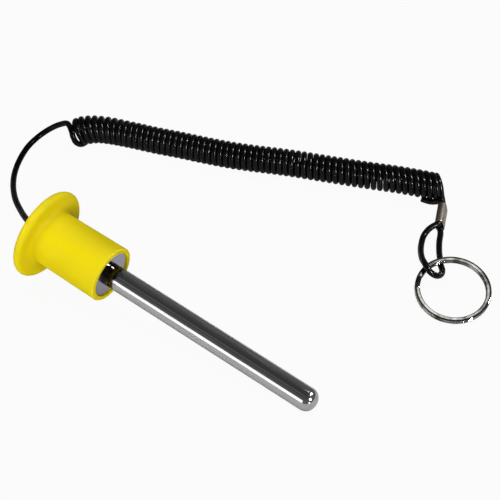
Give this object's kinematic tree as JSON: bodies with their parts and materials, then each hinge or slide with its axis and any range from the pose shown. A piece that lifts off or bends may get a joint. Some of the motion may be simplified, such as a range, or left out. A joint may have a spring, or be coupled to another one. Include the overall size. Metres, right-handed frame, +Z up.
{
  "type": "weight stack pin",
  "caption": "Magnetic selector pin: flanged plastic knob, round-tipped steel shank, ring magnet in the knob's front, and a curly lanyard ending in a crimped loop and a split ring.",
  "frame": {"origin": "on the table, under the middle of the knob and pin as they lie", "axes": "+X along the lying pin from knob to tip, +Y to its left where the curly cord lies, +Z up"},
  "size_m": [0.218, 0.1529, 0.0382],
  "materials": {
    "knob_plastic": "smooth moulded, low gloss",
    "pin_chrome": "bright chrome plate",
    "magnet_plating": "nickel plate",
    "stop_metal": "plain",
    "cord_jacket": "glossy extruded jacket",
    "crimp_metal": "dull folded sheet",
    "ring_steel": "nickel-plated flat wire"
  },
  "bodies": {
    "pin_body": {"knob": "knob_plastic", "selector_pin": "pin_chrome", "ring_magnet": "magnet_plating", "stop_ferrule": "stop_metal", "cord_lead": "cord_jacket", "cord_coil": "cord_jacket", "cord_tail": "cord_jacket", "end_ferrule": "crimp_metal"},
    "key_ring_body": {"split_ring": "ring_steel"}
  },
  "joints": [
    {"name": "ring_swing", "type": "hinge", "parent": "pin_body", "child": "key_ring_body", "pos_m": [0.06745, 0.08655, 0.00645], "axis": [-0.4063, -0.9079, -0.1027], "range_deg": [0, 120]}
  ]
}
